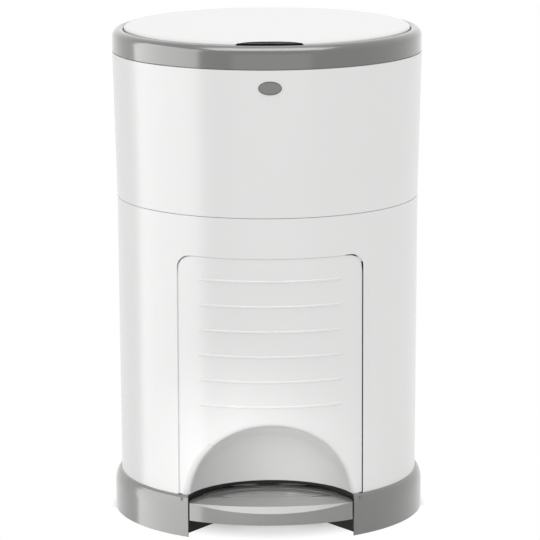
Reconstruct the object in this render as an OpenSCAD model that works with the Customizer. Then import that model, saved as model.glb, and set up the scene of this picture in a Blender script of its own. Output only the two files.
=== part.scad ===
// Pedal nappy bin with a film cassette: round two-part housing, hinged lid, sprung trap flaps,
// a hinged upper housing, a front door and a toe pedal that lifts the lid through two push rods.
// Millimetres. +Z is up, the front faces -Y, and the origin is the middle of the footprint.

/* [Base ring] */
// Outer radius of the base ring
base_r = 150; // [148:0.5:156]
// Height of the base ring, where the housing stands on it
base_h = 40; // [40:0.5:44]
// Height of the ring's upright face, below its rounded shoulder
base_face_h = 27; // [22:0.5:29]
// Width of the ring's rounded shoulder, which is also how far the housing stands in
shoulder_w = 6.1; // [5:0.1:7]
// Wall of the base ring
base_wall = 3; // [2.5:0.1:3.5]
// Thickness of the deck that closes the base
deck_t = 3; // [2.5:0.1:3.2]
// Width of the opening in the ring for the pedal
bay_w = 157.2; // [150:0.2:160]
// Radius of a rubber foot
foot_r = 9; // [7:0.5:10]
// Thickness of a rubber foot
foot_t = 3; // [2.5:0.1:4]
// How far the feet hold the ring off the floor
foot_stand = 1; // [0.8:0.1:1.5]

/* [Housings] */
// Height of the lower housing, from the base ring to the seam
lower_h = 271.6; // [268:0.2:280]
// Height of the upper housing, from the seam to the rim ring
upper_h = 140; // [138:0.5:150]
// How much wider the lower housing is at the seam than at its foot
lower_flare = 1.6; // [1.2:0.1:2]
// How much wider the upper housing is at the rim than at the seam
upper_flare = 3.6; // [3.2:0.1:4]
// Wall of both housings
wall = 3; // [2.6:0.1:3.4]
// Height of the collar that locates the upper housing, above the seam
collar_h = 9; // [7:0.5:10]
// Wall of the collar
collar_t = 2; // [1.6:0.1:2.2]

/* [Rim ring and lid] */
// Height of the rim ring
rim_h = 21.6; // [21:0.2:24]
// Width of the rim ring's rounded top
rim_round_w = 7.2; // [6.2:0.2:7.6]
// Height of the rim ring's rounded top
rim_round_h = 8; // [6:0.2:9]
// Width of the whole rim ring, to the opening that the lid fills
rim_w = 10.5; // [10:0.1:11]
// Gap between the lid and the rim ring
lid_gap = 1; // [0.8:0.1:1.4]
// Height of the lid's rounded edge
lid_round_h = 2.6; // [2:0.1:3]
// Width of the lid's rounded edge
lid_round_w = 7; // [5:0.5:8]
// How much the lid's top is domed inside that edge
lid_crown = 0.8; // [0.4:0.1:1.5]
// Skin thickness of the lid
lid_t = 2.4; // [2:0.1:2.6]
// Width of the finger slot at the lid's front edge
slot_w = 62; // [50:1:70]
// Depth of the finger slot, from the lid's round edge
slot_depth = 5.5; // [5:0.1:7]
// How far the lid opens, in degrees
lid_open = 80; // [70:1:84]

/* [Chute and trap] */
// Radius of the chute's mouth
mouth_r = 100; // [96:0.5:102]
// Radius of the throat that the flaps close
throat_r = 86.5; // [82:0.5:88]
// Height of the throat's lower face, above the seam
throat_up = 124.4; // [122:0.2:126]
// Distance of each flap's hinge from the middle
flap_hinge_x = 66; // [62:0.5:68]
// Thickness of a flap
flap_t = 2.5; // [2:0.1:3]
// Wall of the chute
chute_t = 2.5; // [2:0.1:3]

/* [Cassette] */
// Depth of the cassette deck below the seam
cassette_drop = 15.6; // [14:0.2:18]
// Outer radius of the tube that the film passes through
tube_r = 86; // [82:0.5:87]
// Height of that tube above the deck
tube_h = 44; // [40:0.5:48]
// Outer radius of the film cassette
cassette_r = 112; // [106:0.5:113]
// Height of the film cassette
cassette_h = 34; // [28:0.5:36]
// Wall of the cassette and its tube
cassette_t = 2; // [1.5:0.1:2.5]

/* [Front door] */
// Width of the door's opening
door_w = 176; // [172:0.5:178]
// Distance from the seam down to the top of the door's opening
door_drop = 38.1; // [34:0.2:44]
// Corner radius of the door's opening
door_corner = 12.5; // [8:0.5:16]
// How far the door's face lies behind the housing's
door_recess = 1.3; // [0.8:0.1:1.6]
// Thickness of the door
door_t = 2.8; // [2.4:0.1:3]
// Gap round the door
door_gap = 0.5; // [0.4:0.05:0.8]
// Number of ribs on the door
rib_count = 6; // [4:1:7]
// Distance from one rib to the next
rib_pitch = 24.1; // [22:0.1:25]
// Distance from the door's top to the first rib
rib_first = 22.4; // [18:0.2:26]
// Half-width of a rib
rib_half = 66; // [56:0.5:68]
// Radius of a rib's half-round section
rib_r = 1.5; // [1.4:0.05:1.7]

/* [Toe space and pedal] */
// Radius of the domed toe space
toe_r = 84; // [80:0.5:84]
// Wall of the toe dome
toe_t = 2.4; // [2:0.1:2.6]
// Height of the dome's centre above the floor
toe_z = 28; // [26:0.5:29]
// Height of the line between the toe dome and the door's lip
toe_split_z = 92; // [84:0.5:94]
// Width of the pedal
pedal_w = 155; // [150:0.5:155]
// Height of the pedal's underside
pedal_z = 17.5; // [16.5:0.1:18]
// Thickness of the pedal
pedal_t = 17; // [15:0.2:17.5]
// Width and drop of the bevel at the middle of the pedal's front edge
pedal_bevel = 5.8; // [4:0.2:7]
// Depth of the dish behind the pedal's foot band
dish_depth = 1.2; // [0.6:0.1:1.5]
// How far the pedal turns, in degrees
pedal_turn = 6.5; // [5:0.1:6.5]
// Radius of the pedal's axle
axle_r = 3; // [2.5:0.1:3.4]
// Distance of the axle behind the middle, towards the front
axle_y = -42; // [-46:0.5:-40]
// Height of the axle
axle_z = 20; // [19.5:0.1:20.4]

/* [Push rods] */
// Distance of the push rods in from the base ring's edge
rod_in = 28; // [27:0.5:29]
// Radius of a push rod
rod_r = 3; // [2.6:0.1:3.2]

/* [Button and latch] */
// Width of the release button
button_w = 21.2; // [18:0.2:24]
// Height of the release button
button_h = 12.1; // [10:0.1:13]
// Distance from the rim ring down to the button's middle
button_drop = 17.1; // [15:0.1:19]
// Height of the latch's pivot above the seam
latch_up = 58.4; // [54:0.2:62]

/* [Fits] */
// Clearance of a pin in a hole that turns on it
pin_fit = 0.05; // [0.03:0.01:0.08]
// Clearance between pieces that slide past each other or stand face to face across a joint
clear = 0.3; // [0.3:0.05:0.4]

/* [Hidden] */
$fn = 96;

white = [0.93, 0.93, 0.92];
grey = [0.55, 0.55, 0.53];
pale = [0.80, 0.82, 0.83];
steel = [0.72, 0.73, 0.75];
black = [0.12, 0.12, 0.12];

big = 400;                              // larger than the bin, for cutting tools
seam_gap = 0.25;                        // half of the fine line between the two housings
body_r = base_r - shoulder_w;           // housing radius at its foot
seam_z = base_h + lower_h;
rim_z = seam_z + upper_h;
rim_top = rim_z + rim_h;
seam_r = body_r + lower_flare;
top_r = seam_r + upper_flare;
rim_r = top_r;                          // flush with the housing under it
rim_hole_r = rim_r - rim_w;
lid_r = rim_hole_r - lid_gap;
deck_under = base_h - deck_t;

// Radius of the housings' outer face at a height
function body_radius(z) = z < seam_z
    ? body_r + lower_flare * (z - base_h) / lower_h
    : seam_r + upper_flare * (z - seam_z) / upper_h;

// A wall of the housing between two heights and two depths behind its outer face
module skin(z0, z1, d0, d1) {
    rotate_extrude()
        polygon([
            [body_radius(z0) - d0, z0], [body_radius(z1) - d0, z1],
            [body_radius(z1) - d1, z1], [body_radius(z0) - d1, z0]
        ]);
}

// The solid of revolution that lies a depth behind the housing's outer face
module core(z0, z1, d) {
    rotate_extrude()
        polygon([[0, z0], [body_radius(z0) - d, z0], [body_radius(z1) - d, z1], [0, z1]]);
}

module ring(r_out, r_in, z0, z1) {
    difference() {
        translate([0, 0, z0])
            cylinder(r = r_out, h = z1 - z0);
        translate([0, 0, z0 - 1])
            cylinder(r = r_in, h = z1 - z0 + 2);
    }
}

module box(x0, x1, y0, y1, z0, z1) {
    translate([x0, y0, z0])
        cube([x1 - x0, y1 - y0, z1 - z0]);
}

module post(x, y, r, z0, z1) {
    translate([x, y, z0])
        cylinder(r = r, h = z1 - z0, $fn = 48);
}

// A round bar along X between two ends
module bar_x(x0, x1, y, z, r) {
    translate([x0, y, z])
        rotate([0, 90, 0])
            cylinder(r = r, h = x1 - x0, $fn = 48);
}

module bar_y(x, y0, y1, z, r) {
    translate([x, y0, z])
        rotate([-90, 0, 0])
            cylinder(r = r, h = y1 - y0, $fn = 48);
}

// Wire coil along +Z, swept as a tube round its helix
module coil(r, wire, length, turns) {
    sides = 6;
    steps = 12 * turns;
    rise = length - 2 * wire;
    pts = [
        for (i = [0 : steps]) let (a = 360 * turns * i / steps, z = wire + rise * i / steps)
            for (j = [0 : sides - 1]) let (b = 360 * j / sides, q = r + wire * cos(b))
                [q * cos(a), q * sin(a), z + wire * sin(b)]
    ];
    sheets = [
        for (i = [0 : steps - 1])
            for (j = [0 : sides - 1]) let (k = (j + 1) % sides)
                [i * sides + j, (i + 1) * sides + j, (i + 1) * sides + k, i * sides + k]
    ];
    first = [for (j = [0 : sides - 1]) j];
    last = [for (j = [sides - 1 : -1 : 0]) steps * sides + j];
    polyhedron(points = pts, faces = concat([first, last], sheets));
}

// ---------------------------------------------------------------- shared places

shoulder_h = base_h - base_face_h;
toe_y = -(body_r + 2.5);                // the dome's centre stands just outside the housing
toe_deck_r = sqrt(pow(toe_r, 2) - pow(base_h - toe_z, 2));
foot_at = base_r - 22;                  // radius of the circle that the feet stand on
foot_angles = [48, 132, 228, 312];      // from the front, round the bin
screw_at = body_r - 10.9;               // radius of the circle of base screws
screw_angles = [78, 150, 210, 282];
screw_r = 1.8;
head_r = 3.2;
ear_x = [35, 39];                       // bearing ears of the axle, on each side
ear_half = 7;
bay_wall = 2.5;
bay_angle = asin((toe_deck_r + 0.6) / -toe_y);

rod_y = base_r - rod_in;
lever_top = pedal_z - 1;
lever_t = 3;
spring_y = 40;
spring_r = 7;
spring_wire = 0.7;
rod_lift = (rod_y - axle_y) * tan(pedal_turn);

door_top = seam_z - door_drop;          // top of the door's opening
hinge_x = door_w / 2 - 4;               // the door's hinge line, in from the opening's side
hinge_depth = door_recess + 2.5;        // how deep that line lies behind the housing's face
barrel_r = 2.4;
door_pin_r = 1.5;
door_foot_z = base_h + 0.6;
door_lip = 1;                           // thickness of the door's edge
door_step = 3;                          // width of that thin edge
door_boss_r = 4;
door_soft = 3;                          // how much rounder the door's corner is than its opening's
door_boss_z = door_top - 8.6;           // lower end of the housing's boss for the upper hinge pin

collar_r = seam_r - wall - 0.5;         // clear of the upper housing's wall
collar_in_r = collar_r - collar_t;
cassette_z = seam_z - cassette_drop;
cassette_deck_t = 3;
tray_z = cassette_z + cassette_deck_t;
ledge_t = 4;
latch_half = 16;                        // half-width of the collar's gap for the latch
latch_y = -(collar_in_r - 3.55);        // middle of the latch lever's bar
latch_t = 2.5;
latch_z = seam_z + latch_up;
hook_z = seam_z + 2.6;
hook_h = 3;

knuckle_y = seam_r - 1.8;               // hinge line between the housings
knuckle_z = seam_z + 0.4;
knuckle_r = 5;
knuckle_pin_r = 2;
knuckle_mid = 9.7;
knuckle_end = 28;
knuckle_notch = knuckle_end + 3;

flange_z = rim_z + 13.4;                // underside of the chute's flange, on top of the housing
flange_t = 2.5;
flange_top = flange_z + flange_t;
flange_r = rim_r - 3.2;
throat_z = seam_z + throat_up;
skirt_r = throat_r + 20;
skirt_z = tray_z + cassette_h + 12;
flap_r = throat_r + 1.5;
flap_top = throat_z - 0.4;
flap_barrel_r = 3;
flap_axis_z = flap_top - flap_barrel_r;
flap_pin_r = 1.5;
flap_lug_y = [57, 62];
boss_at = rim_hole_r - 4.6;             // circle of chute screws
boss_angles = [45, 135, 225, 315];
rim_skirt = 2.2;                        // wall of the rim ring
neck_r = rim_r - rim_skirt - clear;     // the housing's neck that the rim ring is pushed over
neck_t = 2.3;

lid_edge_z = rim_top + 0.2;
slot_back = lid_r - slot_depth;         // how far the slot's middle is from the bin's axis
slot_sag = sqrt(pow(lid_r, 2) - pow(slot_w / 2, 2)) - slot_back;
slot_r = (pow(slot_w / 2, 2) + pow(slot_sag, 2)) / (2 * slot_sag);
slot_lip = 1.2;                         // thickness of the lid over the finger slot's pocket
slot_reach = 5;                         // how far the pocket runs in under the lid
lid_axis_y = lid_r - 3.2;
lid_axis_z = lid_edge_z;
lid_barrel_r = 2;
lid_pin_r = 1.2;
lid_bar_half = 17;                      // half-length of the lid's hinge bar
lid_pin_half = lid_bar_half - 0.5;
lid_skirt_z = flange_top + 3.1;
liner_r = mouth_r + 4;
ear_gap = [6.7, 10.3];                  // notches in the lid for the hinge brackets
crank_r = rod_lift / (2 * sin(lid_open / 2));
crank_y = lid_axis_y - crank_r * cos(lid_open / 2);
crank_z = lid_axis_z - crank_r * sin(lid_open / 2);
crank_pin_r = 1.5;
button_z = rim_z - button_drop;

// Height of the lid's upper face at a radius
function lid_top(r) = lid_edge_z + lid_crown * (1 - pow(r / lid_r, 2)) + lid_round_h
    * (r > lid_r - lid_round_w ? sqrt(1 - pow((r - lid_r + lid_round_w) / lid_round_w, 2)) : 1);

function hinge_y(z) = -sqrt(pow(body_radius(z) - hinge_depth, 2) - pow(hinge_x, 2));
door_lean = atan((hinge_y(base_h) - hinge_y(door_top)) / (door_top - base_h));

// Places children on the door's hinge line, which follows the housing's draft, from a height up
module on_door_axis(z) {
    translate([hinge_x, hinge_y(base_h) - (z - base_h) * tan(door_lean), z])
        rotate([door_lean, 0, 0])
            children();
}

// Outline of the door's opening, or of the door itself when it is drawn in by a gap
module door_outline(inset, softer = 0) {
    half = door_w / 2 - inset;
    top = door_top - inset;
    r = door_corner - inset + softer;
    foot = base_h - 20;
    translate([0, -60, 0])
        rotate([90, 0, 0])
            linear_extrude(big) {
                translate([-half, foot])
                    square([2 * half, top - r - foot]);
                translate([-half + r, top - r - 1])
                    square([2 * (half - r), r + 1]);
                for (s = [-1, 1])
                    translate([s * (half - r), top - r])
                        circle(r = r, $fn = 64);
            }
}

// Children moved to a radius and turned round the bin, an angle counted from the front
module at_angle(a, r) {
    rotate([0, 0, a])
        translate([0, -r, 0])
            children();
}

// Screw with a slotted head under the point where it starts, pointing up
module screw(r, length) {
    cylinder(r = r, h = length, $fn = 32);
    difference() {
        translate([0, 0, -2])
            cylinder(r = head_r, h = 2, $fn = 48);
        translate([-0.5, -head_r - 1, -2.5])
            cube([1, 2 * head_r + 2, 1.3]);
    }
}

// Boss for a screw, joined to the wall outside it by a web
module screw_boss(z0, z1, r, web) {
    post(0, 0, r, z0, z1);
    translate([-r + 1, -web, z0])
        cube([2 * r - 2, web, z1 - z0]);
}

// Oval prism along Y
module oval(w, h, y0, y1) {
    translate([0, y1, button_z])
        rotate([90, 0, 0])
            linear_extrude(y1 - y0)
                polygon([for (a = [0 : 9 : 351]) [w / 2 * cos(a), h / 2 * sin(a)]]);
}

// ---------------------------------------------------------------- base ring and pedal

module base_profile() {
    arc = [
        for (a = [0 : 15 : 90])
            [base_r - shoulder_w + shoulder_w * cos(a), base_face_h + shoulder_h * sin(a)]
    ];
    polygon(concat([[0, foot_stand], [base_r - 0.6, foot_stand], [base_r, foot_stand + 0.6]], arc,
        [[0, base_h]]));
}

module base_ring() {
    inner_r = base_r - base_wall;
    color(grey) difference() {
        union() {
            difference() {
                rotate_extrude() base_profile();
                post(0, 0, inner_r, -1, base_face_h, $fn = 96);
                post(0, 0, inner_r - shoulder_w, base_face_h - 1, deck_under, $fn = 96);
            }
            for (a = foot_angles)
                at_angle(a, foot_at)
                    post(0, 0, foot_r + 2, foot_stand, deck_under + 1);
            for (s = [-1, 1]) {
                // side wall of the pedal's bay
                rotate([0, 0, s * bay_angle])
                    translate([s > 0 ? 0 : -bay_wall, 1 - base_r, foot_stand])
                        cube([bay_wall, base_r - 64, deck_under + 1 - foot_stand]);
                // bearing ear of the axle
                translate([s > 0 ? ear_x[0] : -ear_x[1], axle_y - ear_half, axle_z])
                    cube([ear_x[1] - ear_x[0], 2 * ear_half, deck_under + 1 - axle_z]);
                bar_x(s > 0 ? ear_x[0] : -ear_x[1], s > 0 ? ear_x[1] : -ear_x[0],
                    axle_y, axle_z, ear_half);
            }
            // boss of the door's lower hinge pin and seat of the return spring
            on_door_axis(deck_under - 5)
                cylinder(r = 4, h = 6, $fn = 48);
            post(0, spring_y, spring_r - spring_wire - 0.6, deck_under - 5, deck_under + 1);
        }
        // toe space: the dome's circle, no wider than the bay
        intersection() {
            translate([0, toe_y, -1])
                cylinder(r = toe_deck_r, h = base_h + 2);
            box(-bay_w / 2, bay_w / 2, -big, 0, -2, base_h + 3);
        }
        for (a = foot_angles)
            at_angle(a, foot_at)
                post(0, 0, foot_r, -1, foot_t);
        for (a = screw_angles)
            at_angle(a, screw_at)
                post(0, 0, screw_r + 0.2, deck_under - 2, base_h + 1);
        bar_x(-ear_x[1] - 1, ear_x[1] + 1, axle_y, axle_z, axle_r);
        on_door_axis(base_h - 20)
            cylinder(r = door_pin_r + pin_fit, h = 30, $fn = 48);
        post(0, rod_y, rod_r + clear, deck_under - 2, base_h + 1);
    }
}

module rubber_feet() {
    color(black) for (a = foot_angles)
        at_angle(a, foot_at)
            rotate_extrude($fn = 48)
                polygon([[0, 0], [foot_r - 0.8, 0], [foot_r, 0.8], [foot_r, foot_t], [0, foot_t]]);
}

module base_screws() {
    color(steel) for (a = screw_angles)
        at_angle(a, screw_at)
            translate([0, 0, deck_under])
                screw(screw_r, deck_t + 9);
}

module pedal_axle() {
    color(steel) bar_x(-ear_x[1] - 1.5, ear_x[1] + 1.5, axle_y, axle_z, axle_r);
}

module return_spring() {
    color(steel) translate([0, spring_y, lever_top])
        coil(spring_r, spring_wire, deck_under - lever_top, 6);
}

// Plan of the pedal: the ring's circle in front, the toe dome's circle behind
module pedal_plan(inset) {
    back_r = toe_deck_r + 0.3 - inset;
    intersection() {
        circle(r = base_r - 0.2 - inset, $fn = 128);
        translate([0, toe_y - 4.4])
            circle(r = back_r, $fn = 128);
        translate([-pedal_w / 2 + inset, -base_r])
            square([pedal_w - 2 * inset, base_r]);
    }
}

pad_screw = [20, -96];

module pedal_pad() {
    top = pedal_z + pedal_t;
    shell = 2.5;
    // the bevel is a cone: its edge meets the front arc at the pedal's two corners
    front_y = base_r - pedal_bevel;
    sag = front_y - sqrt(pow(base_r, 2) - pow(pedal_w / 2, 2));
    bevel_r = (pow(pedal_w / 2, 2) + pow(sag, 2)) / (2 * sag);
    color(grey) difference() {
        intersection() {
            union() {
                difference() {
                    translate([0, 0, pedal_z])
                        linear_extrude(pedal_t) pedal_plan(0);
                    translate([0, 0, pedal_z - 1])
                        linear_extrude(pedal_t + 1 - 2 * shell) pedal_plan(shell);
                }
                for (x = [-50, -pad_screw[0], pad_screw[0], 50])
                    box(x - 1, x + 1, -sqrt(pow(base_r - 2, 2) - x * x), pad_screw[1] + 6,
                        pedal_z + 2, top - shell);
                for (s = [-1, 1])
                    post(s * pad_screw[0], pad_screw[1], 5, lever_top, top - shell);
            }
            translate([0, bevel_r - front_y, lever_top - 1])
                cylinder(r1 = bevel_r + top - lever_top + 1, r2 = bevel_r, h = top - lever_top + 1,
                    $fn = 180);
        }
        // dish behind the foot band
        difference() {
            translate([0, 0, top - dish_depth])
                linear_extrude(dish_depth + 1) pedal_plan(5);
            box(-big, big, -big, -108, top - dish_depth - 1, top + 2);
        }
        for (s = [-1, 1])
            post(s * pad_screw[0], pad_screw[1], 1.6, lever_top - 1, lever_top + 11);
    }
}

module pedal_screws() {
    color(steel) for (s = [-1, 1])
        translate([s * pad_screw[0], pad_screw[1], lever_top - lever_t])
            screw(1.6, lever_t + 9);
}

module pedal_lever() {
    wide = ear_x[0] - 2;
    slim = 12;
    rear = rod_y + 6;
    low = lever_top - lever_t;
    color(steel) difference() {
        union() {
            translate([0, 0, low])
                linear_extrude(lever_t)
                    polygon([[-30, -108], [30, -108], [wide, axle_y - 14], [wide, axle_y + 14],
                        [slim, 10], [slim, rear], [-slim, rear], [-slim, 10],
                        [-wide, axle_y + 14], [-wide, axle_y - 14]]);
            bar_x(-wide, wide, axle_y, axle_z, axle_r + 3.5);
            for (s = [-1, 1])
                box(s * slim - (s > 0 ? 2.5 : 0), s * slim + (s > 0 ? 0 : 2.5), axle_y, rear,
                    low - 6, low + 1);
            for (y = [60, 100])
                box(-slim, slim, y, y + 2.5, low - 4, low + 1);
        }
        bar_x(-wide - 1, wide + 1, axle_y, axle_z, axle_r + pin_fit);
        for (s = [-1, 1])
            post(s * pad_screw[0], pad_screw[1], 1.8, low - 1, lever_top + 1);
    }
}

module lower_push_rod() {
    tip_z = lever_top + clear + rod_r;
    color(steel) {
        post(0, rod_y, rod_r, tip_z, seam_z - 0.2);
        translate([0, rod_y, tip_z])
            sphere(r = rod_r, $fn = 48);
    }
}

// ---------------------------------------------------------------- lower housing and door

module collar() {
    difference() {
        ring(collar_r, collar_in_r, cassette_z - 1, seam_z + collar_h);
        box(-latch_half, latch_half, -big, 0, seam_z - 4, seam_z + big);
        box(-knuckle_notch, knuckle_notch, 0, big, seam_z - 4, seam_z + big);
    }
}

// Frame round the door's opening, with a stop behind its free side and its top
module door_frame() {
    back = wall + 3.9;
    stop_w = 4;
    intersection() {
        skin(base_h, door_top + 8, wall - 0.5, back);
        difference() {
            door_outline(-5);
            door_outline(0);
        }
    }
    intersection() {
        skin(base_h, door_top + 6, door_recess + door_t + 0.4, back - 0.4);
        difference() {
            door_outline(-2.5);
            door_outline(stop_w);
        }
        box(-big, hinge_x - 12, -big, 0, base_h - 1, door_top + 3);
    }
    // boss of the door's upper hinge pin, which fills the opening's corner round the hinge line
    intersection() {
        on_door_axis(door_boss_z)
            cylinder(r = door_boss_r, h = 15, $fn = 48);
        core(base_h, seam_z - 1, door_recess);
    }
}

module lower_housing() {
    wall_top = seam_z - seam_gap;
    color(white) difference() {
        union() {
            difference() {
                union() {
                    skin(base_h, wall_top, 0, wall);
                    ring(body_r - wall + 0.5, body_r - 11, base_h, base_h + 3);
                }
                door_outline(0);
            }
            // ledge under the cassette deck, and the joint between wall and collar
            ring(body_radius(cassette_z) - wall + 0.5, collar_in_r - 4.3,
                cassette_z - ledge_t, cassette_z);
            ring(seam_r - wall + 0.4, collar_r - 1, cassette_z - 1, seam_z - 4);
            collar();
            door_frame();
            for (a = screw_angles)
                at_angle(a, screw_at)
                    screw_boss(base_h + 1, base_h + 12, 5, 9);
            // middle knuckle of the seam hinge, on a pad that stands out of the wall
            bar_x(-knuckle_mid, knuckle_mid, knuckle_y, knuckle_z, knuckle_r);
            intersection() {
                box(-knuckle_mid, knuckle_mid, collar_in_r + 0.4, knuckle_y + knuckle_r,
                    seam_z - 16, knuckle_z);
                core(base_h, seam_z + 1, -1.5);
            }
        }
        // pockets for the upper housing's knuckles
        for (s = [-1, 1])
            translate([s > 0 ? knuckle_mid + clear : -knuckle_notch, knuckle_y - knuckle_r - 2,
                knuckle_z - knuckle_r - 1])
                cube([knuckle_notch - knuckle_mid - clear, 2 * knuckle_r + 10, 30]);
        bar_x(-knuckle_mid - 1, knuckle_mid + 1, knuckle_y, knuckle_z, knuckle_pin_r + pin_fit);
        for (a = screw_angles)
            at_angle(a, screw_at)
                post(0, 0, screw_r, base_h - 1, base_h + 10);
        // room behind the toe dome
        translate([0, toe_y, toe_z])
            sphere(r = toe_r + toe_t + clear);
        on_door_axis(door_boss_z - 1)
            cylinder(r = door_pin_r + pin_fit, h = 17, $fn = 48);
    }
}

module dome_shell(z0, z1, depth) {
    intersection() {
        translate([0, toe_y, toe_z])
            difference() {
                sphere(r = toe_r + toe_t, $fn = 128);
                sphere(r = toe_r, $fn = 128);
            }
        core(z0, z1, depth);
    }
}

module toe_dome() {
    color(white) {
        dome_shell(base_h, toe_split_z - clear, door_recess);
        // foot flange on the deck
        intersection() {
            translate([0, toe_y, 0])
                ring(toe_deck_r + 10, toe_deck_r + 1, base_h, base_h + 2.4);
            core(base_h, base_h + 3, 12);
        }
    }
}

module door_ribs() {
    for (i = [0 : rib_count - 1]) {
        z = door_top - rib_first - i * rib_pitch;
        r = body_radius(z) - rib_r;
        half = asin(rib_half / r);
        rotate([0, 0, 270 - half])
            rotate_extrude(angle = 2 * half)
                translate([r, z])
                    circle(r = rib_r, $fn = 32);
    }
}

// Snap tongue behind the door's free side: its nub holds the frame's stop
module door_snap(z) {
    tongue_x = 4.6 - door_w / 2;
    stop_back = body_radius(z) - wall - 3.9;
    face_y = -sqrt(pow(body_radius(z) - door_recess - door_t / 2, 2) - pow(tongue_x, 2));
    nub_y = 0.5 - sqrt(pow(stop_back, 2) - pow(tongue_x - 1.4, 2));
    box(tongue_x, tongue_x + 2, face_y, nub_y + 3, z, z + 16);
    box(tongue_x - 1.2, tongue_x + 1, nub_y, nub_y + 2, z + 2, z + 14);
}

module front_door() {
    lip_z = toe_split_z + clear;
    boss_gap = 0.6;
    boss_from = door_boss_z - 0.4 - (base_h - 2);
    color(white) difference() {
        union() {
            difference() {
                union() {
                    intersection() {
                        skin(door_foot_z, door_top, door_recess, door_recess + door_lip);
                        door_outline(door_gap, door_soft);
                    }
                    // the rest of its thickness stands in from the edge, which lets it swing out
                    intersection() {
                        skin(door_foot_z, door_top, door_recess + door_lip - 0.1,
                            door_recess + door_t);
                        door_outline(door_gap + door_step, door_soft);
                    }
                    // lip that carries on the toe dome
                    intersection() {
                        translate([0, toe_y, toe_z])
                            sphere(r = toe_r + toe_t, $fn = 128);
                        core(lip_z, toe_z + toe_r + 8, door_recess + 1);
                    }
                }
                translate([0, toe_y, toe_z])
                    sphere(r = toe_r, $fn = 128);
                // room for the dome below the lip
                intersection() {
                    translate([0, toe_y, toe_z])
                        sphere(r = toe_r + toe_t + 0.4, $fn = 128);
                    box(-big, big, -big, 0, 0, lip_z);
                }
            }
            door_ribs();
            door_snap(130);
            door_snap(200);
            on_door_axis(door_foot_z)
                cylinder(r = barrel_r, h = door_top - door_corner - door_foot_z, $fn = 48);
        }
        // one stepped hole, for the hinge pins and round the housing's boss
        on_door_axis(base_h - 2)
            rotate_extrude($fn = 48)
                polygon([[0, 0], [door_pin_r, 0], [door_pin_r, boss_from],
                    [door_boss_r + boss_gap, boss_from], [door_boss_r + boss_gap, boss_from + 20],
                    [0, boss_from + 20]]);
    }
}

module door_hinge_pins() {
    pin_below = 40;                     // reach of the upper pin into the door and into the housing
    pin_above = 5.5;
    color(steel) {
        on_door_axis(deck_under - 4.5)
            cylinder(r = door_pin_r, h = 28, $fn = 48);
        on_door_axis(door_top - pin_below)
            cylinder(r = door_pin_r, h = pin_below + pin_above, $fn = 48);
    }
}

cutter_z = 226;
cutter_h = 18;
cutter_half = 32;
slot_z = cutter_z + cutter_h / 2;

module film_cutter() {
    depth = door_recess + door_t;
    color(grey) difference() {
        intersection() {
            skin(cutter_z, cutter_z + cutter_h, depth, depth + 12);
            box(-cutter_half, cutter_half, -big, 0, cutter_z - 1, cutter_z + cutter_h + 1);
        }
        box(4 - cutter_half, big, -big, 7 - body_radius(cutter_z) + depth + 30, slot_z - 1.5,
            slot_z + 1.5);
        box(1 - cutter_half, 6 - cutter_half, -big, 0, slot_z - 0.4, slot_z + 0.4);
    }
}

module cutter_blade() {
    depth = door_recess + door_t + 2;
    color(steel) intersection() {
        skin(slot_z - 0.4, slot_z + 0.4, depth, depth + 9);
        box(1 - cutter_half, 16 - cutter_half, -big, 0, slot_z - 1, slot_z + 1);
    }
}

module lower_rod_guide() {
    color(pale) translate([0, rod_y, 0])
        ring(rod_r + 2.2, rod_r + 0.6, base_h, cassette_z);
}

// ---------------------------------------------------------------- cassette

module cassette_deck() {
    color(white) difference() {
        union() {
            ring(collar_in_r - 0.4, tube_r - 1, cassette_z, tray_z);
            ring(tube_r, tube_r - cassette_t, cassette_z - 6, cassette_z + tube_h);
            for (a = [15 : 30 : 345])
                at_angle(a, 0)
                    translate([-1, -collar_in_r + 5, cassette_z - 5])
                        cube([2, collar_in_r - tube_r - 4, 5.5]);
        }
        post(0, rod_y, rod_r + clear, cassette_z - 8, tray_z + 1);
    }
}

module cassette_tray() {
    in_r = tube_r + 1.2;
    top = tray_z + cassette_h - 1.6;
    color(pale) rotate_extrude()
        polygon([[in_r, tray_z], [cassette_r, tray_z], [cassette_r, top],
            [cassette_r - cassette_t, top], [cassette_r - cassette_t, tray_z + cassette_t],
            [in_r + cassette_t, tray_z + cassette_t], [in_r + cassette_t, top], [in_r, top]]);
}

// Pleated stack of tubular film
module film_pack() {
    in_r = tube_r + 1.2 + cassette_t + 0.6;
    out_r = cassette_r - cassette_t - 0.6;
    z0 = tray_z + cassette_t;
    pleats = 9;
    pitch = (cassette_h - cassette_t - 6) / pleats;
    color([0.86, 0.90, 0.95]) rotate_extrude()
        polygon(concat(
            [for (i = [0 : 2 * pleats]) [out_r - (i % 2) * 1.4, z0 + i * pitch / 2]],
            [for (i = [2 * pleats : -1 : 0]) [in_r + (i % 2) * 1.4, z0 + i * pitch / 2]]));
}

module cassette_cover() {
    in_r = tube_r + 1.2 + cassette_t + 2.5;
    top = tray_z + cassette_h;
    color(pale) rotate_extrude()
        polygon([[in_r, top - 1.6], [cassette_r, top - 1.6], [cassette_r, top - 0.6],
            [cassette_r - 1, top], [in_r + 0.8, top], [in_r, top - 0.8]]);
}

module latch_strike() {
    plate_y = latch_y + 4.75;
    plate_t = 1.5;
    half = 12;
    color(steel) difference() {
        union() {
            box(-half, half, plate_y, plate_y + plate_t, tray_z, hook_z + hook_h + 5);
            box(-half, half, plate_y, plate_y + 14, tray_z, tray_z + 1.5);
        }
        box(-8, 8, plate_y - 1, plate_y + plate_t + 1, hook_z - 0.9, hook_z + hook_h + 1.6);
    }
}

// ---------------------------------------------------------------- upper housing

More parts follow.
